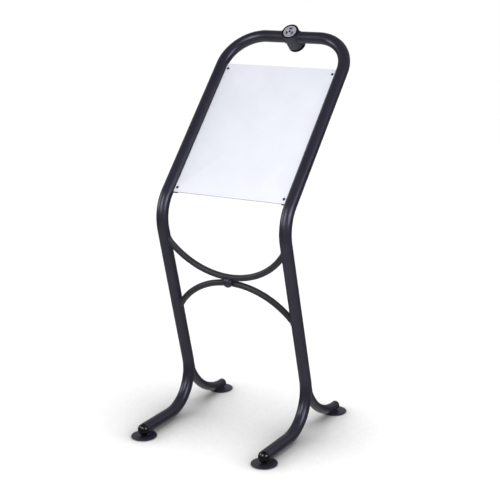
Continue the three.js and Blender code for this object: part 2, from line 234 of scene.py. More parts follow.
def finish_material(started, patterns, constants=None):
    """Ends a material with a Principled shader. Each pattern has two values and a field to follow:
    "shades" mixes two colours, "gloss" two roughness values, and "relief" has a bump's strength and
    depth. A field is a socket, or a noise given as the size of its cells in metres and its detail."""
    material, place = started
    sockets = dict(constants or {})
    for use, (first, second, field) in patterns.items():
        if not isinstance(field, bpy.types.NodeSocket):
            cells = {"Vector": place, "Scale": 1 / field[0], "Detail": field[1]}
            field = add_node(material, "ShaderNodeTexNoise", inputs=cells).outputs["Fac"]
        if use == "shades":
            stops = tuple(zip(SHADE_PLACES, (linear(first), linear(second))))
            mix = add_node(material, "ShaderNodeValToRGB", inputs={"Fac": field}, stops=stops)
            sockets["Base Color"] = mix.outputs["Color"]
        elif use == "gloss":
            span = {"Value": field, "To Min": first, "To Max": second}
            sockets["Roughness"] = add_node(material, "ShaderNodeMapRange", inputs=span).outputs["Result"]
        else:
            bump = {"Strength": first, "Distance": second, "Height": field}
            sockets["Normal"] = add_node(material, "ShaderNodeBump", inputs=bump).outputs["Normal"]
    shader = add_node(material, "ShaderNodeBsdfPrincipled", inputs=sockets)
    add_node(material, "ShaderNodeOutputMaterial", inputs={"Surface": shader.outputs["BSDF"]})
    return material


def polyester_powder_coat(name, low, high, gloss):
    """Baked polyester powder, anthracite: a dark grey between two shades with a faint orange peel, cells
    about 2.5 mm across, which breaks up the long highlights. The shade changes slowly, over 120 mm, and
    the gloss, a pair of roughness values, over 30 mm."""
    return finish_material(new_material(name), {
        "shades": (low, high, (0.12, 2.0)),
        "gloss": (*gloss, (0.03, 2.0)),
        "relief": (0.12, 0.0003, (0.0025, 1.0)),
    }, {"IOR": 1.5})


def fit_out(piece, node, slot, material):
    """Gives a piece its material, stands it in for a CAD node and fixes it to the stand."""
    piece.data.materials.append(material)
    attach(piece, "root")
    if node:
        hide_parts(node)


powder_coat = polyester_powder_coat("polyester_powder_coat_anthracite", "#22212e", "#262531", (0.25, 0.34))
SIDES = (("left", -1), ("right", 1))


def side_line(sign):
    """The axis of a side tube, from the open end of its foot to just inside the hub."""
    shift = sign * half_spacing * across
    front = np.array([0.0, foot_end, foot_height])
    corners = [front + shift, foot_corner + shift, knee + shift, rail_middle + shift]
    return bent_line(corners + [rail_middle + sign * tube_radius / 2 * across], BEND_RADIUS)


for side, sign in SIDES:
    tube = hollow_tube(side_line(sign), sign_front, tube_radius, TUBE_WALL)
    fit_out(build(f"side_tube_{side}", [tube]), f"{side}_side_tube", "powder_coat", powder_coat)


# --------------------------------------------------
# Rear feet: shorter tubes, 29 mm across, bent to one wide arc. Each is saddle-cut where it runs
# tangent out of the back of a leg, welded there, and ends level on its own disc.
REAR_WALL = 0.0015
REAR_ARC = 0.215
REAR_STRAIGHT = 0.004
REAR_SIDES = 48

rear_radius = size_of("left_rear_plug")[0] / 2
rear_height = middle_of("left_rear_plug")[2]
rear_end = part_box("left_rear_foot")[1].y
rear_turn = math.pi / 2 - LEG_LEAN
to_rear_height = (rear_height - foot_corner[2]) / leg_up[2]
rear_corner = foot_corner + to_rear_height * leg_up
rear_start = rear_corner + (REAR_ARC * math.tan(rear_turn / 2) + REAR_STRAIGHT) * leg_up


def rear_line(sign):
    """The axis of a rear foot, from inside the leg to its open end."""
    shift = sign * half_spacing * across
    end = np.array([0.0, rear_end, rear_height])
    return bent_line([rear_start + shift, rear_corner + shift, end + shift], REAR_ARC)


for side, sign in SIDES:
    foot = hollow_tube(rear_line(sign), across, rear_radius, REAR_WALL, REAR_SIDES)
    fit_out(build(f"rear_foot_{side}", [foot]), f"{side}_rear_foot", "powder_coat", powder_coat)


# --------------------------------------------------
# Stays: two 20 mm tubes rolled to one radius and set back to back in the plane of the legs, the
# upper one as a bowl and the lower one as an arch. They brace the legs and touch in the middle.
STAY_RADIUS = 0.010
STAY_WALL = 0.0015
STAY_OFFSET = 0.0103             # middle of the boss to each stay's axis
STAY_RISE = 0.1294               # height of each arch, between the tube axes
STAY_SIDES = 40
STAY_RINGS = 161

stay_arc = (half_spacing ** 2 + STAY_RISE ** 2) / (2 * STAY_RISE)


def stay_line(way):
    """A stay's axis: centre + arc * (sin t across, and -cos t towards the boss)."""
    centre = boss_middle + way * (STAY_OFFSET + stay_arc) * leg_up
    reach = math.asin(half_spacing / stay_arc)
    turn = np.linspace(-reach, reach, STAY_RINGS)[:, None]
    points = centre + stay_arc * (np.sin(turn) * across - way * np.cos(turn) * leg_up)
    return points, np.cos(turn) * across + way * np.sin(turn) * leg_up


# The stays took less powder between the legs: their coat is duller and less blue.
dull_coat = polyester_powder_coat("polyester_powder_coat_dull", "#212024", "#252428", (0.44, 0.54))
for name, way in (("upper", 1), ("lower", -1)):
    stay = hollow_tube(stay_line(way), leg_front, STAY_RADIUS, STAY_WALL, STAY_SIDES)
    fit_out(build(f"stay_{name}", [stay]), f"{name}_stay", "powder_coat", dull_coat)


# --------------------------------------------------
# Centre boss: a short turned sleeve that holds the two stays together, closed in front and behind
# by a domed steel cap. All of it is coated with the frame.
BOSS_RADIUS = 0.0158
BOSS_FRONT = 0.0164              # stays' plane to the sleeve's front end
BOSS_REAR = 0.006
BOSS_WALL = 0.002
BOSS_EDGE = 0.0006               # radius on the sleeve's edges
BOSS_RIM = 0.0015
BOSS_DOME = 0.0095
BOSS_STEM = 0.004                # how far a cap reaches into the sleeve
BOSS_FIT = 0.0003                # gap between a cap and the sleeve
BOSS_STEP = 0.0002               # how far a cap's underside starts in from its rim
BOSS_SIDES = 64


def turned(profile, place, axis, sides, ends="fans"):
    """A turned shell: each (radius, height) of the profile is a circle round the axis, at
    place + height * axis + radius * (cos t * first + sin t * second)."""
    profile = np.array(profile, float)
    axis = unit(axis)
    helper = across if abs(axis[0]) < 0.9 else np.array([0.0, 0.0, 1.0])
    middles = np.asarray(place) + profile[:, 1:] * axis
    directions = np.broadcast_to(axis, middles.shape)
    return skin(rings_along(middles, directions, helper, profile[:, 0], sides), ends)


def rounded(corners, radius, steps=5):
    """A profile with each inner corner rounded: the two points a radius away from it and a quadratic
    curve between them, (1-t)^2 a + 2 t (1-t) corner + t^2 b."""
    corners = np.array(corners, float)
    t = np.linspace(0, 1, steps)[:, None]
    line = [corners[:1]]
    for before, corner, after in zip(corners, corners[1:], corners[2:]):
        near = min(radius, np.linalg.norm(before - corner) / 2, np.linalg.norm(after - corner) / 2)
        a = corner + near * unit(before - corner)
        b = corner + near * unit(after - corner)
        line.append((1 - t) ** 2 * a + 2 * t * (1 - t) * corner + t ** 2 * b)
    return np.vstack(line + [corners[-1:]])


def dome(radius, base, height, steps=16):
    """The profile of half an ellipse: radius * cos a out and base + height * sin a up."""
    a = np.linspace(0, math.pi / 2, steps, endpoint=False)
    return np.stack([radius * np.cos(a), base + height * np.sin(a)], 1)


SMALL = 1e-5                     # radius at which a turned surface closes on its axis

bore = BOSS_RADIUS - BOSS_WALL
sleeve = rounded([
    (bore, -BOSS_REAR), (BOSS_RADIUS, -BOSS_REAR), (BOSS_RADIUS, BOSS_FRONT), (bore, BOSS_FRONT),
], BOSS_EDGE)
boss = turned(sleeve, boss_middle, leg_front, BOSS_SIDES, "loop")
fit_out(build("boss_sleeve", [boss]), "centre_boss", "powder_coat", powder_coat)
for name, way, end in (("front", 1, BOSS_FRONT), ("rear", -1, BOSS_REAR)):
    outline = np.vstack([
        [(SMALL, -BOSS_STEM), (bore - BOSS_FIT, -BOSS_STEM), (bore - BOSS_FIT, BOSS_FIT)],
        [(BOSS_RADIUS - BOSS_STEP, BOSS_FIT)],
        dome(BOSS_RADIUS, BOSS_RIM, BOSS_DOME),
        [(SMALL, BOSS_RIM + BOSS_DOME)],
    ])
    outward = way * leg_front
    cap = turned(outline, boss_middle + end * outward, outward, BOSS_SIDES)
    fit_out(build(f"boss_dome_{name}", [cap]), f"boss_cap_{name}", "powder_coat", powder_coat)


# --------------------------------------------------
# Hub: a short 57 mm tube set square to the sign, between the two halves of the rail and welded to
# both. A black moulded cap with a badge closes its front, and a domed black plug its back.
HUB_WALL = 0.0025
HUB_RIM = 0.0035
HUB_REAR_RIM = 0.0095            # the plug behind, darkened by painted shade, shows as a broad dark band
HUB_DOME = 0.008
HUB_STEM = 0.012
HUB_FIT = 0.0003
HUB_EDGE = 0.0006                # radius on the barrel's edges
HUB_CAP_EDGE = 0.0007            # the same on the moulded cap and plug
BADGE_DEPTH = 0.0015
HUB_SIDES = 96

hub_radius = size_of("hub_tube")[0] / 2
badge_radius = size_of("badge")[0] / 2
hub_length = (size_of("hub_tube")[1] - 2 * hub_radius * math.sin(RECLINE)) / math.cos(RECLINE)
hub_middle = middle_of("hub_tube")
hub_bore = hub_radius - HUB_WALL


def moulded_black():
    """Injection-moulded polyethylene, black and glossy from a polished tool: near-black, with sharp
    lamp reflections and a slight waviness, 9 mm from wave to wave, where the wall shrank."""
    return finish_material(new_material("polyethylene_black_gloss"), {
        "shades": ("#08080a", "#0c0c0f", (0.02, 2.0)),
        "gloss": (0.12, 0.22, (0.006, 2.0)),
        "relief": (0.1, 0.0004, (0.009, 0.0)),
    }, {"IOR": 1.52})


def black_with_painted_shade():
    """Soft PVC, black like the bezel, dull with a tool grain of 1.5 mm, coarser than a real one so that it
    shows. Its darker shade and far weaker reflection are painted shade, so the plug reads as a dark band."""
    return finish_material(new_material("pvc_black_painted_shade"), {
        "shades": ("#050506", "#09090a", (0.02, 2.0)),
        "gloss": (0.35, 0.45, (0.0015, 2.0)),
        "relief": (0.1, 0.0002, (0.0015, 2.0)),
    }, {"Specular IOR Level": 0.12})


black_plastic = moulded_black()
barrel = rounded([
    (hub_bore, -hub_length / 2), (hub_radius, -hub_length / 2),
    (hub_radius, hub_length / 2), (hub_bore, hub_length / 2),
], HUB_EDGE)
hub = turned(barrel, hub_middle, sign_front, HUB_SIDES, "loop")
fit_out(build("hub_barrel", [hub]), "hub_tube", "powder_coat", powder_coat)

hub_face = hub_middle + hub_length / 2 * sign_front
stem = hub_bore - HUB_FIT
recess = badge_radius + HUB_FIT
ring = rounded([
    (SMALL, -HUB_STEM), (stem, -HUB_STEM), (stem, HUB_FIT), (hub_radius, HUB_FIT), (hub_radius, HUB_RIM),
    (recess, HUB_RIM), (recess, HUB_RIM - BADGE_DEPTH), (SMALL, HUB_RIM - BADGE_DEPTH),
], HUB_CAP_EDGE)
bezel = build("hub_bezel", [turned(ring, hub_face, sign_front, HUB_SIDES)])
fit_out(bezel, "hub_front_cap", "black_plastic", black_plastic)

hub_back = hub_middle - hub_length / 2 * sign_front
collar = [(SMALL, -HUB_STEM), (stem, -HUB_STEM), (stem, HUB_FIT), (hub_radius, HUB_FIT)]
plug = np.vstack([
    rounded(collar, HUB_CAP_EDGE),
    dome(hub_radius, HUB_REAR_RIM, HUB_DOME),
    [(SMALL, HUB_REAR_RIM + HUB_DOME)],
])
# The back plug is darker and duller than the bezel: painted shade at the back of the hub.
back_plug = build("hub_back_plug", [turned(plug, hub_back, -sign_front, HUB_SIDES)])
fit_out(back_plug, "hub_rear_cap", "black_plastic", black_with_painted_shade())


# --------------------------------------------------
# Badge: a thin aluminium disc, spun to a fine circular grain, pressed into the bezel. Its dark marks
# are a plain made-up pattern, raised enamel: three lobes round a dot, inside a thin broken ring.
BADGE_THICKNESS = 0.0012
BADGE_EDGE = 0.0004
GRAIN_PITCH = 0.0005             # between two rings of the spun grain
MARK_HEIGHT = 0.0003
DOT_RADIUS = 0.0044
LOBES = 3
LOBE_REACH = (0.0080, 0.0142)    # inner and outer radius of a lobe
LOBE_HALF_TURN = math.radians(29)
LINE_REACH = (0.0166, 0.0174)    # the same of the line round the lobes
LINE_HALF_TURN = math.radians(56)


def spun_aluminium():
    """Anodised aluminium, faced on a lathe: silver-grey, its grain rings 0.5 mm apart, coarser than
    real ones so that they show, which smear the lamps' reflections into soft fans. The rings are a
    noise of the distance from the badge's middle."""
    material, place = new_material("aluminium_spun_anodised")
    spoke = {0: place, 1: badge_middle}
    centred = add_node(material, "ShaderNodeVectorMath", {"operation": "SUBTRACT"}, spoke).outputs["Vector"]
    reach = add_node(material, "ShaderNodeVectorMath", {"operation": "LENGTH"}, {0: centred})
    turns = {"W": reach.outputs["Value"], "Scale": 1 / GRAIN_PITCH, "Detail": 2.0}
    rings = add_node(material, "ShaderNodeTexNoise", {"noise_dimensions": "1D"}, turns).outputs["Fac"]
    return finish_material((material, place), {
        "shades": ("#bcbcc8", "#cdcdd8", rings),
        "gloss": (0.32, 0.45, rings),
        "relief": (0.15, 0.0001, rings),
    }, {"Metallic": 0.4})


def enamel():
    """Stove enamel flooded into the marks: charcoal and glossy, its shade slightly cloudy over 4 mm."""
    return finish_material(new_material("enamel_charcoal"), {
        "shades": ("#2a2a32", "#34343d", (0.004, 2.0)),
    }, {"Roughness": 0.25})


def prism(outline, place, right, up, low, high):
    """A flat shape with upright sides: its outline in the plane of right and up, at two heights."""
    outline = np.array(outline, float)
    front = np.cross(right, up)
    flat = place + outline[:, :1] * right + outline[:, 1:] * up
    return skin(np.stack([flat + low * front, flat + high * front]))


def disc_outline(middle, radius, sides=20):
    """Points round a circle in a plane."""
    t = np.linspace(0, 2 * math.pi, sides, endpoint=False)
    return np.stack([middle[0] + radius * np.cos(t), middle[1] + radius * np.sin(t)], 1)


badge_middle = tuple(middle_of("badge"))
badge_back = hub_face + (HUB_RIM - BADGE_DEPTH + HUB_FIT) * sign_front
face = rounded([
    (SMALL, 0), (badge_radius, 0), (badge_radius, BADGE_THICKNESS), (SMALL, BADGE_THICKNESS),
], BADGE_EDGE)
badge = build("badge_disc", [turned(face, badge_back, sign_front, HUB_SIDES)])
fit_out(badge, "badge", "badge_metal", spun_aluminium())


def arc_bar(low, high, middle, half_turn, bottom, top, steps=32):
    """A raised bar bent round the badge's middle: an oblong section, from the low to the high radius
    and from bottom to top, carried round from middle - half_turn to middle + half_turn."""
    t = np.linspace(middle - half_turn, middle + half_turn, steps)[:, None, None]
    spokes = np.cos(t) * across + np.sin(t) * upright_up
    radius = np.array([low, high, high, low])[:, None]
    height = np.array([bottom, bottom, top, top])[:, None]
    return skin(badge_back + radius * spokes + height * sign_front)


mark_low, mark_high = BADGE_THICKNESS / 2, BADGE_THICKNESS + MARK_HEIGHT
raised = [prism(disc_outline((0, 0), DOT_RADIUS), badge_back, across, upright_up, mark_low, mark_high)]
for k in range(LOBES):
    middle = math.pi / 2 + 2 * math.pi * k / LOBES
    raised.append(arc_bar(*LOBE_REACH, middle, LOBE_HALF_TURN, mark_low, mark_high))
    raised.append(arc_bar(*LINE_REACH, middle, LINE_HALF_TURN, mark_low, mark_high))
fit_out(build("badge_marks", raised), None, "black_plastic", enamel())


# --------------------------------------------------
# Welds: TIG beads round every joint, about 4 mm wide, laid as a row of small ripples and coated over
# with the frame. Each follows the line where one tube comes out of the other.
BEAD_RADIUS = 0.0022
STAY_BEAD_RADIUS = 0.0017
BEAD_PITCH = 0.0024              # from ripple to ripple
BEAD_SWELL = 0.14                # how much a ripple adds to the radius
BEAD_TIP = 0.02                  # share of the radius, squared, at an open end
BEAD_RINGS = 5                   # rings to a ripple
BEAD_SIDES = 12
SMOOTHINGS = 3                   # times that a closed line is evened out
NUDGE = 1e-9                     # keeps a cross product from coming to nothing
WELD_CREASE = 60
HUB_SEAM_REACH = 0.06            # the rail's seam with the hub is within this of the middle
RAIL_RINGS = 31
HUB_AXIS_POINTS = 161
STAY_SEAM_FROM = 0.1             # a stay's seam with its leg is further out than this
STAY_SEAM_HEIGHTS = (0.3, 0.7)   # and between these heights; the rear foot's seam is below them
REAR_SEAM_FROM = -0.2            # and behind this place


def seam(path, side, radius, host, host_radius, sides=72):
    """Where a tube comes out of a host: for each line along its surface, the first place at which the
    distance to the host's axis passes the host's radius, found between two rings by proportion."""
    rings = rings_along(*path, side, radius, sides)
    gap = np.linalg.norm(rings[:, :, None] - host[None, None], axis=-1).min(-1) - host_radius
    inside = gap < 0
    last = len(rings) - 2 - np.argmax(inside[-2::-1], axis=0)
    column = np.arange(sides)
    near, far = gap[last, column], gap[last + 1, column]
    share = (near / (near - far))[:, None]
    return rings[last, column] * (1 - share) + rings[last + 1, column] * share


def finely(path, spacing=0.001):
    """The points of a path, close together."""
    points = path[0]
    along = np.concatenate([[0], np.linalg.norm(np.diff(points, axis=0), axis=1).cumsum()])
    places = np.arange(0, along[-1], spacing)
    return np.stack([np.interp(places, along, points[:, k]) for k in range(3)], 1)


def bead(line, closed=True, radius=BEAD_RADIUS):
    """A weld bead along a line: a round rod whose radius swells by the size of a sine, once for every
    ripple, and at an open end falls as the square root of the distance to it."""
    ring = np.vstack([line, line[:1]]) if closed else line
    along = np.concatenate([[0], np.linalg.norm(np.diff(ring, axis=0), axis=1).cumsum()])
    ripples = round(along[-1] / BEAD_PITCH)
    places = np.linspace(0, along[-1], ripples * BEAD_RINGS + 1)
    points = np.stack([np.interp(places, along, ring[:, k]) for k in range(3)], 1)
    if closed:
        points = points[:-1]
        for _ in range(SMOOTHINGS):
            points = (np.roll(points, 1, 0) + 2 * points + np.roll(points, -1, 0)) / 4
        directions = unit(np.roll(points, -1, 0) - np.roll(points, 1, 0))
    else:
        directions = unit(np.gradient(points, axis=0))
    outward = points - points.mean(0)
    side = unit(np.cross(directions, outward + NUDGE))
    swell = 1 + BEAD_SWELL * np.abs(np.sin(np.arange(len(points)) * math.pi / BEAD_RINGS))
    if not closed:
        to_end = np.minimum(places, along[-1] - places)
        swell *= np.sqrt(np.clip(to_end / radius, BEAD_TIP, 1))
    rings = rings_along(points, directions, side, radius * swell, BEAD_SIDES)
    return skin(rings, "loop" if closed else "fans")


welds = []
for side, sign in SIDES:
    leg = finely(side_line(sign))
    bottom, top = STAY_SEAM_HEIGHTS
    lower_leg = leg[(leg[:, 2] < bottom) & (leg[:, 1] > REAR_SEAM_FROM)]
    middle_leg = leg[(leg[:, 2] > bottom) & (leg[:, 2] < top)]
    welds.append(bead(seam(rear_line(sign), across, rear_radius, lower_leg, tube_radius)))
    outward = np.linspace(0, HUB_SEAM_REACH, RAIL_RINGS)[:, None] * sign * across
    rail = rail_middle + outward, np.broadcast_to(sign * across, outward.shape)
    along = np.linspace(-1, 1, HUB_AXIS_POINTS)[:, None]
    hub_axis = hub_middle + along * hub_length * sign_front
    welds.append(bead(seam(rail, sign_front, tube_radius, hub_axis, hub_radius)))
    for way in (-1, 1):
        points, directions = stay_line(way)
        half = points[:, 0] * sign > STAY_SEAM_FROM
        points, directions = points[half][::-sign], -sign * directions[half][::-sign]
        joint = seam((points, directions), leg_front, STAY_RADIUS, middle_leg, tube_radius)
        welds.append(bead(joint, radius=STAY_BEAD_RADIUS))
fit_out(build("frame_welds", welds, WELD_CREASE), None, "powder_coat", powder_coat)


# --------------------------------------------------
# Foot plugs: domed black inserts pressed into the open ends of all four feet, with a thin rim that
# covers the sawn edge of the tube.
PLUG_RIM = 0.0015
PLUG_FIT = 0.0003                # gap between a plug and its tube
PLUG_LIP = 0.0008                # width of the rim's underside
PLUG_EDGE = 0.0005
PLUG_STEM = {"front": 0.014, "rear": 0.004}
PLUG_SIDES = 64

for side, sign in SIDES:
    for end, way, wall in (("front", -1, TUBE_WALL), ("rear", 1, REAR_WALL)):
        node = f"{side}_{end}_plug"
        low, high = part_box(node)
        radius = (high.x - low.x) / 2
        tube_end = foot_end if end == "front" else rear_end
        height = abs((low.y if way < 0 else high.y) - tube_end) - PLUG_RIM
        inside = radius - wall - PLUG_FIT
        rim = [(radius - PLUG_LIP, PLUG_FIT), (radius, PLUG_FIT), (radius, PLUG_RIM)]
        outline = np.vstack([
            [(SMALL, -PLUG_STEM[end]), (inside, -PLUG_STEM[end]), (inside, PLUG_FIT)],
            rounded(rim, PLUG_EDGE, steps=4),
            dome(radius, PLUG_RIM, height)[1:],
            [(SMALL, PLUG_RIM + height)],
        ])
        place = (sign * half_spacing, tube_end, (low.z + high.z) / 2)
        shell = turned(outline, place, (0, way, 0), PLUG_SIDES)
        fit_out(build(f"foot_plug_{side}_{end}", [shell]), node, "black_plastic", black_plastic)


# --------------------------------------------------
# Foot discs and pads: flame-cut steel discs with a rounded rim, welded flat under the tube ends,
# each standing on a thin rubber pad that keeps the stand from slipping and from marking the floor.
DISC_EDGE = 0.0012
PAD_EDGE = 0.0004
DISC_SIDES = 96
FOOT_BEAD_RADIUS = 0.0026
FOOT_BEAD_START = 0.002          # from the tube's end to the bead's
FOOT_BEAD_STOP = 0.003           # from the bead's other end to the disc's rim
FOOT_BEAD_RISE = 0.001           # from the disc's top to the bead's middle
FOOT_BEAD_OUT = 0.5              # of the tube's radius, from its axis to the bead's
LINE_POINTS = 30                 # points along a straight bead's line


def moulded_rubber():
    """Black rubber, moulded and dull, with a grain of 1.2 mm, coarser than the tool's so that it shows."""
    return finish_material(new_material("rubber_black_moulded"), {
        "shades": ("#141415", "#1c1c1d", (0.01, 2.0)),
        "gloss": (0.7, 0.9, (0.0012, 2.0)),
        "relief": (0.3, 0.0002, (0.0012, 2.0)),
    })


pad_rubber = moulded_rubber()
feet = (("front", tube_radius, foot_end, -1), ("rear", rear_radius, rear_end, 1))
layers = (("disc", DISC_EDGE, "powder_coat", powder_coat), ("pad", PAD_EDGE, "pad_rubber", pad_rubber))
foot_welds = []
for side, sign in SIDES:
    for end, radius, tube_end, way in feet:
        for part, soft, slot_name, material in layers:
            node = f"{side}_{end}_{part}"
            low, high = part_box(node)
            reach, thick = (high.x - low.x) / 2, high.z - low.z
            outline = rounded([(SMALL, 0), (reach, 0), (reach, thick), (SMALL, thick)], soft)
            place = ((low.x + high.x) / 2, (low.y + high.y) / 2, low.z)
            shell = build(f"foot_{part}_{side}_{end}", [turned(outline, place, (0, 0, 1), DISC_SIDES)])
            fit_out(shell, node, slot_name, material)
        disc_low, disc_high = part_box(f"{side}_{end}_disc")
        inner = disc_high.y - FOOT_BEAD_STOP if way < 0 else disc_low.y + FOOT_BEAD_STOP
        for edge in (-1, 1):
            x = sign * half_spacing + edge * radius * FOOT_BEAD_OUT
            y = np.linspace(tube_end - way * FOOT_BEAD_START, inner, LINE_POINTS)
            z = disc_high.z + FOOT_BEAD_RISE
            line = np.stack([np.full(LINE_POINTS, x), y, np.full(LINE_POINTS, z)], 1)
            foot_welds.append(bead(line, False, FOOT_BEAD_RADIUS))
fit_out(build("foot_welds", foot_welds, WELD_CREASE), None, "powder_coat", powder_coat)


# --------------------------------------------------
# Tabs: four small plates welded to the inner sides of the uprights, with rounded inner corners and
# one hole each, coated with the frame. The sign panel lies on their fronts.
TAB_CORNER = 0.004
TAB_EDGE = 0.0004
TAB_BEAD_RADIUS = 0.0016
TAB_BEAD_STOP = 0.004            # from a bead's end to the tab's


def slope_box(node):
    """The middle of a CAD node's box, as distances across, up the upright from the knee and out."""
    middle = middle_of(node)
    return middle[0], (middle - knee) @ upright_up, (middle - knee) @ sign_front


def rounded_rectangle(low, high, radius, steps=6):
    """The outline of a rectangle with quarter circles of a given radius at its corners."""
    t = np.linspace(0, math.pi / 2, steps)
    corners = ((high[0], high[1]), (low[0], high[1]), (low[0], low[1]), (high[0], low[1]))
    quarters = []
    for turns, (x, y) in enumerate(corners):
        cx = x - radius * (1 if x == high[0] else -1)
        cy = y - radius * (1 if y == high[1] else -1)
        angle = t + turns * math.pi / 2
        quarters.append(np.stack([cx + radius * np.cos(angle), cy + radius * np.sin(angle)], 1))
    return np.vstack(quarters)


def soft_plate(low, high, back, front, corner, edge):
    """A flat plate on the sign's slope with rounded corners and softened edges: outlines that step in
    by edge * (1 - cos a) as they near each face by edge * (1 - sin a)."""
    a = np.linspace(0, math.pi / 2, 4)
    inset = np.concatenate([edge * (1 - np.sin(a)), edge * (1 - np.cos(a))])
    depth = np.concatenate([back + edge * (1 - np.cos(a)), front - edge * (1 - np.sin(a))])
    rings = []
    for step, height in zip(inset, depth):
        outline = rounded_rectangle((low[0] + step, low[1] + step), (high[0] - step, high[1] - step), corner)
        flat = knee + outline[:, :1] * across + outline[:, 1:] * upright_up
        rings.append(flat + height * sign_front)
    return skin(np.stack(rings))


PANEL_FACE = -0.0002
PANEL_THICKNESS = 0.003
TAB_GAP = 0.0003
TAB_THICKNESS = 0.003
TAB_REACH = 0.017
TAB_HEIGHT = 0.036
SINK = 0.006                     # how far a tab runs on inside the tube's outline

tab_front = PANEL_FACE - PANEL_THICKNESS - TAB_GAP
tab_back = tab_front - TAB_THICKNESS
tab_welds = []
for side, sign in SIDES:
    for row in ("lower", "upper"):
        x, up, _ = slope_box(f"{side}_{row}_screw")
        inner = half_spacing - tube_radius - TAB_REACH
        ends = sorted((sign * inner, sign * (half_spacing - tube_radius + SINK)))
        low, high = (ends[0], up - TAB_HEIGHT / 2), (ends[1], up + TAB_HEIGHT / 2)
        plate = soft_plate(low, high, tab_back, tab_front, TAB_CORNER, TAB_EDGE)
        tab = build(f"panel_tab_{side}_{row}", [plate])
        fit_out(tab, f"{side}_{row}_tab", "powder_coat", powder_coat)
        edge_x = half_spacing - math.sqrt(tube_radius ** 2 - tab_back ** 2)
        reach = TAB_HEIGHT / 2 - TAB_BEAD_STOP
        rise = np.linspace(-reach, reach, LINE_POINTS)[:, None]
        start = knee + sign * edge_x * across + tab_back * sign_front
        tab_welds.append(bead(start + (up + rise) * upright_up, False, TAB_BEAD_RADIUS))
fit_out(build("tab_welds", tab_welds, WELD_CREASE), None, "powder_coat", powder_coat)


# --------------------------------------------------
# Sign panel: a 3 mm aluminium composite sheet, coil-coated white and satin, about 400 x 500 mm. Its sawn
# edges show the grey core between the skins. It is blank, so that any printed sheet can go on it.
PANEL_CORNER = 0.0015
PANEL_EDGE = 0.0003
CORE_LIMIT = 0.5                 # a face whose normal has less than this towards the front is sawn edge


def coil_coated_white():
    """White coil coating on aluminium: a cool white, satin, so flat that only the slow waves of the
    rolling, 80 mm long, show in its reflections."""
    return finish_material(new_material("coil_coated_aluminium_white"), {
        "shades": ("#ebedf7", "#eef0fa", (0.08, 2.0)),
        "gloss": (0.38, 0.46, (0.02, 2.0)),
        "relief": (0.05, 0.0005, (0.08, 2.0)),
    }, {"IOR": 1.48})


def sawn_core():
    """Sawn polyethylene core: mid grey and matt, with a fine roughness from the saw, 0.6 mm across."""
    return finish_material(new_material("polyethylene_core_sawn"), {
        "shades": ("#5b5b60", "#6c6c71", (0.0006, 2.0)),
        "gloss": (0.6, 0.75, (0.0006, 2.0)),
    })


panel_low, panel_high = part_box("sign_panel")
half_width = (panel_high.x - panel_low.x) / 2
half_height = ((panel_high.z - panel_low.z) - PANEL_THICKNESS * math.sin(RECLINE)) / math.cos(RECLINE) / 2
_, panel_up, _ = slope_box("sign_panel")
corner_low, corner_high = (-half_width, panel_up - half_height), (half_width, panel_up + half_height)
panel_back = PANEL_FACE - PANEL_THICKNESS
sheet = soft_plate(corner_low, corner_high, panel_back, PANEL_FACE, PANEL_CORNER, PANEL_EDGE)
sign = build("sign_sheet", [sheet])
fit_out(sign, "sign_panel", "white_sheet", coil_coated_white())
sign.data.materials.append(sawn_core())
facing = np.empty(len(sign.data.polygons) * 3)
sign.data.polygons.foreach_get("normal", facing)
sawn = np.abs(facing.reshape(-1, 3) @ sign_front) < CORE_LIMIT
sign.data.polygons.foreach_set("material_index", sawn.astype(np.int32))


# --------------------------------------------------
# Fixings: M5 button-head screws in blackened steel through the panel and the tabs, each with a
# zinc-plated washer and nut behind.
HEAD_RADIUS = 0.0044
HEAD_HEIGHT = 0.0022
HEAD_GAP = 0.00015               # from the sheet to the head's underside
HEAD_RIM = 0.0005                # upright side below the crown
HEAD_NECK = 0.0004               # height of the cone under the head
SOCKET_FLATS = 0.003
SOCKET_DEPTH = 0.0012
SOCKET_MOUTH = 0.62              # the crown stops at this share of the flats from the axis
SOCKET_LIP = 0.0001              # height of the chamfer at the mouth
SOCKET_FLARE = 1.03              # width of the mouth and of the bottom, to the socket's own
SOCKET_TAPER = 0.98
SOCKET_POINT = 1.15              # depth of the drill's point, to the socket's own
SCREW_RADIUS = 0.0025
SCREW_TAIL = 0.0019              # how far a screw stands out of its nut
THREAD_PITCH = 0.0008
THREAD_DEPTH = 0.0004
THREAD_RINGS = 8                 # rings to a turn
THREAD_GAP = 0.0002              # from the thread's top to the head's underside
WASHER_BORE = 0.0028
WASHER_RADIUS = 0.005
WASHER_THICKNESS = 0.001
WASHER_EDGE = 0.0002
NUT_BORE = 0.0027
NUT_FLATS = 0.008
NUT_THICKNESS = 0.004
NUT_BEVEL = 0.0005               # height of the bevel that takes off the corners
NUT_FACE = 1.01                  # radius of a bevelled face, to half the flats
NUT_SLOPE = 0.0008               # how much wider the bevel is at its foot
NUT_GAP = 0.0003
FIXING_SIDES = 48


def blackened_steel():
    """Hardened steel with a black oxide finish, slightly oily: charcoal with a dull metal shine, its
    shade cloudy over 2 mm."""
    return finish_material(new_material("steel_black_oxide"), {
        "shades": ("#1d1d21", "#2a2a2f", (0.002, 2.0)),
        "gloss": (0.35, 0.5, (0.001, 2.0)),
    }, {"Metallic": 0.6})


def zinc_plate():
    """Bright zinc plating on steel: pale blue-silver, mottled over 3 mm by the passivation."""
    return finish_material(new_material("steel_zinc_plated"), {
        "shades": ("#a9adb6", "#c2c5cc", (0.003, 2.0)),
        "gloss": (0.28, 0.42, (0.0015, 2.0)),
    }, {"Metallic": 1.0})


def hexagon(flats, sides=FIXING_SIDES):
    """The radius of a hexagon at each angle: half its width over the cosine of the angle past the
    nearest flat's middle."""
    t = np.linspace(0, 2 * math.pi, sides, endpoint=False)
    return flats / 2 / np.cos((t + math.pi / 6) % (math.pi / 3) - math.pi / 6)


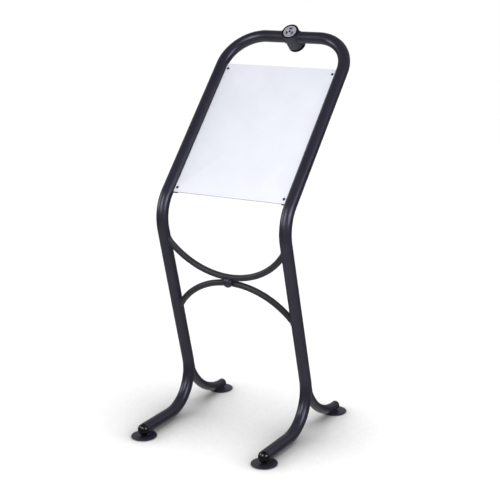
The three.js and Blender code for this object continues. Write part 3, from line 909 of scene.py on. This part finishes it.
def stacked(heights, radii, place, axis, ends="fans"):
    """A shell round an axis whose rings have their own radius at every angle."""
    middles = place + np.array(heights)[:, None] * axis
    directions = np.broadcast_to(axis, middles.shape)
    return skin(rings_along(middles, directions, across, np.stack(radii), FIXING_SIDES), ends)


def thread(low, high, place, axis):
    """A screw thread: the radius falls by up to the thread's depth as a triangle wave of the height
    over the pitch less the angle over a full turn."""
    heights = np.arange(low, high, THREAD_PITCH / THREAD_RINGS)
    t = np.arange(FIXING_SIDES) / FIXING_SIDES
    wave = np.abs(2 * ((heights[:, None] / THREAD_PITCH - t) % 1) - 1)
    return stacked(heights, SCREW_RADIUS - THREAD_DEPTH * wave, place, axis)


def full(radius):
    """The same radius at every angle."""
    return np.full(FIXING_SIDES, radius)


black_steel = blackened_steel()
zinc_steel = zinc_plate()
washer_top = tab_back - NUT_GAP
nut_top = washer_top - WASHER_THICKNESS - NUT_GAP
nut_bottom = nut_top - NUT_THICKNESS
for side, sign in SIDES:
    for row in ("lower", "upper"):
        x, up, _ = slope_box(f"{side}_{row}_screw")
        place = knee + x * across + up * upright_up
        head_low = PANEL_FACE + HEAD_GAP
        crown = dome(HEAD_RADIUS, head_low + HEAD_RIM, HEAD_HEIGHT - HEAD_RIM, steps=10)
        crown = crown[crown[:, 0] > SOCKET_FLATS * SOCKET_MOUTH]
        radii = [full(SMALL), full(SCREW_RADIUS), full(HEAD_RADIUS)] + [full(r) for r in crown[:, 0]]
        heights = [head_low - HEAD_NECK, head_low - HEAD_NECK, head_low] + list(crown[:, 1])
        socket = hexagon(SOCKET_FLATS)
        depths = np.array([0, SOCKET_LIP, SOCKET_DEPTH, SOCKET_DEPTH * SOCKET_POINT])
        radii += [socket * SOCKET_FLARE, socket, socket * SOCKET_TAPER, full(SMALL)]
        heights += list(crown[-1, 1] + SOCKET_LIP - depths)
        head = stacked(heights, radii, place, sign_front)
        shank = thread(nut_bottom - SCREW_TAIL, head_low - THREAD_GAP, place, sign_front)
        screw = build(f"panel_screw_{side}_{row}", [head, shank], crease=30)
        fit_out(screw, f"{side}_{row}_screw", "black_steel", black_steel)

        outline = rounded([
            (WASHER_BORE, washer_top - WASHER_THICKNESS), (WASHER_RADIUS, washer_top - WASHER_THICKNESS),
            (WASHER_RADIUS, washer_top), (WASHER_BORE, washer_top),
        ], WASHER_EDGE)
        ring = turned(outline, place, sign_front, FIXING_SIDES, "loop")
        washer = build(f"panel_washer_{side}_{row}", [ring])
        fit_out(washer, f"{side}_{row}_washer", "zinc_steel", zinc_steel)

        flats = hexagon(NUT_FLATS)
        face_radius = NUT_FLATS / 2 * NUT_FACE
        face = np.minimum(flats, face_radius)
        shoulder = np.minimum(flats, face_radius + NUT_SLOPE)
        heights = [nut_bottom, nut_bottom, nut_bottom + NUT_BEVEL, nut_top - NUT_BEVEL, nut_top, nut_top]
        radii = [full(NUT_BORE), face, shoulder, shoulder, face, full(NUT_BORE)]
        shell = stacked(heights, radii, place, sign_front, "loop")
        nut = build(f"panel_nut_{side}_{row}", [shell], crease=25)
        fit_out(nut, f"{side}_{row}_nut", "zinc_steel", zinc_steel)


# --------------------------------------------------
# Studio: a white floor that runs out of sight before a white dome, and the camera at eye height. The
# floor's colour carries a painted shadow round the stand's feet. Soft lamps and a banded room give the
# coat its highlights, and a broad overhead light and a fill in front give everything its daylight.
CAMERA_PLACE = (1.96523, -3.34614, 1.61491)
CAMERA_YAW = math.radians(30.417)
CAMERA_PITCH = math.radians(15.14)
CAMERA_ROLL = math.radians(-0.901)
CAMERA_LENS = 91.25

camera_data = bpy.data.cameras.new("camera")
camera_data.lens = CAMERA_LENS
camera = bpy.data.objects.new("camera", camera_data)
turn = Matrix.Rotation(CAMERA_YAW, 4, "Z") @ Matrix.Rotation(math.pi / 2 - CAMERA_PITCH, 4, "X")
camera.matrix_world = Matrix.Translation(CAMERA_PLACE) @ turn @ Matrix.Rotation(CAMERA_ROLL, 4, "Z")
bpy.context.scene.collection.objects.link(camera)
bpy.context.scene.camera = camera

FLOOR_HALF = 60.0
FLOOR_COLOUR = "#fbfbfb"
SHADE_COLOUR = "#bcbcbc"         # painted shade: the floor's colour close under the tubes, where little light gets in
SHADE_REACH = 0.42
SHADE_POWER = 8.0
SHADE_SAMPLES = 16
floor_mesh = bpy.data.meshes.new("studio_floor")
floor_corners = [(-FLOOR_HALF, -FLOOR_HALF, 0), (FLOOR_HALF, -FLOOR_HALF, 0),
                 (FLOOR_HALF, FLOOR_HALF, 0), (-FLOOR_HALF, FLOOR_HALF, 0)]
floor_mesh.from_pydata(floor_corners, [], [(0, 1, 2, 3)])
floor = bpy.data.objects.new("studio_floor", floor_mesh)
bpy.context.scene.collection.objects.link(floor)
white, place = new_material("studio_floor_white")
rays = {"samples": SHADE_SAMPLES}
# The floor's colour runs from SHADE_COLOUR to FLOOR_COLOUR by how open the space above it is: a painted
# shadow round the feet.
openness = add_node(white, "ShaderNodeAmbientOcclusion", rays, {"Distance": SHADE_REACH}).outputs["AO"]
falloff = add_node(white, "ShaderNodeMath", {"operation": "POWER"}, {0: openness, 1: SHADE_POWER})
stops = ((0.0, linear(SHADE_COLOUR)), (1.0, linear(FLOOR_COLOUR)))
shade = add_node(white, "ShaderNodeValToRGB", inputs={"Fac": falloff.outputs["Value"]}, stops=stops)
matt_white = {"Base Color": shade.outputs["Color"], "Roughness": 1.0, "Specular IOR Level": 0.0}
floor_mesh.materials.append(finish_material((white, place), {}, matt_white))
floor.visible_glossy = False

# A white dome behind everything, which only the camera sees: it gives no light and no reflection.
BACKDROP_RADIUS = 55.0
BACKDROP_HEIGHT = 40.0
BACKDROP_FOOT = -1.0             # height of its lower edge, under the floor
BACKDROP_SIDES = 96
vault = np.vstack([
    [(BACKDROP_RADIUS, BACKDROP_FOOT)],
    dome(BACKDROP_RADIUS, 0.0, BACKDROP_HEIGHT),
    [(SMALL, BACKDROP_HEIGHT)],
])
backdrop = build("studio_backdrop", [turned(vault, (0, 0, 0), (0, 0, 1), BACKDROP_SIDES)])
glow, _ = new_material("studio_backdrop_white")
light = add_node(glow, "ShaderNodeEmission", inputs={"Color": linear("#ffffff"), "Strength": 1.0})
add_node(glow, "ShaderNodeOutputMaterial", inputs={"Surface": light.outputs["Emission"]})
glow.cycles.emission_sampling = "NONE"
backdrop.data.materials.append(glow)
backdrop.visible_diffuse = False
backdrop.visible_glossy = False
backdrop.visible_shadow = False


def soft_lamp(name, place, target, width, height, power, colour):
    """A rectangular lamp at a place, facing a target, which shows in reflections only."""
    data = bpy.data.lights.new(name, "AREA")
    data.shape = "RECTANGLE"
    data.size = width
    data.size_y = height
    data.energy = power
    data.color = linear(colour)[:3]
    lamp = bpy.data.objects.new(name, data)
    aim = Vector(target) - Vector(place)
    lamp.matrix_world = Matrix.Translation(place) @ aim.to_track_quat("-Z", "Y").to_matrix().to_4x4()
    lamp.visible_diffuse = False
    bpy.context.scene.collection.objects.link(lamp)
    return lamp


STAND_MIDDLE = (0.0, 0.0, 0.6)
PANEL_MIDDLE = (0.0, -0.05, 0.94)

soft_lamp("front_softbox", (-0.36, -2.57, 2.1), STAND_MIDDLE, 1.3, 1.7, 41, "#f0f0ff")
soft_lamp("right_softbox", (2.74, -0.68, 1.6), STAND_MIDDLE, 1.9, 1.2, 50, "#dcdcff")
soft_lamp("left_softbox", (-2.6, -1.15, 1.6), STAND_MIDDLE, 0.9, 1.3, 24, "#e6e6ff")

# The fill in front and the overhead light stand for light from all over the room, so neither shows in
# a reflection.
fill = soft_lamp("front_fill", (1.2, -2.3, 1.0), PANEL_MIDDLE, 1.0, 1.0, 34, "#ffffff")
fill.visible_diffuse = True
fill.visible_glossy = False
fill.data.use_shadow = False

OVERHEAD_POWER = 2.74
OVERHEAD_SPREAD = math.radians(75)
OVERHEAD_TILT = math.radians(-19)
overhead_data = bpy.data.lights.new("overhead", "SUN")
overhead_data.energy = OVERHEAD_POWER
overhead_data.angle = OVERHEAD_SPREAD
overhead = bpy.data.objects.new("overhead", overhead_data)
overhead.matrix_world = Matrix.Rotation(OVERHEAD_TILT, 4, "X")
overhead.visible_glossy = False
bpy.context.scene.collection.objects.link(overhead)

# The room as the coat mirrors it: brightness at each height of the direction, from -1 below to 1 above.
ROOM_BANDS = ((-1.0, 0.7), (-0.4, 0.2), (-0.15, 0.03), (0.05, 0.1), (0.3, 0.42), (0.6, 0.25), (1.0, 0.1))

world = bpy.data.worlds.new("studio")
world.use_nodes = True
sky = add_node(world, "ShaderNodeTexCoord").outputs["Generated"]
height = add_node(world, "ShaderNodeSeparateXYZ", inputs={"Vector": sky}).outputs["Z"]
share = add_node(world, "ShaderNodeMapRange", inputs={"Value": height, "From Min": -1.0, "From Max": 1.0})
stops = [((level + 1) / 2, (grey, grey, grey, 1.0)) for level, grey in ROOM_BANDS]
bands = add_node(world, "ShaderNodeValToRGB", inputs={"Fac": share.outputs["Result"]}, stops=stops)
world.node_tree.links.new(bands.outputs["Color"], world.node_tree.nodes["Background"].inputs["Color"])
bpy.context.scene.world = world
bpy.context.scene.view_settings.view_transform = "Standard"
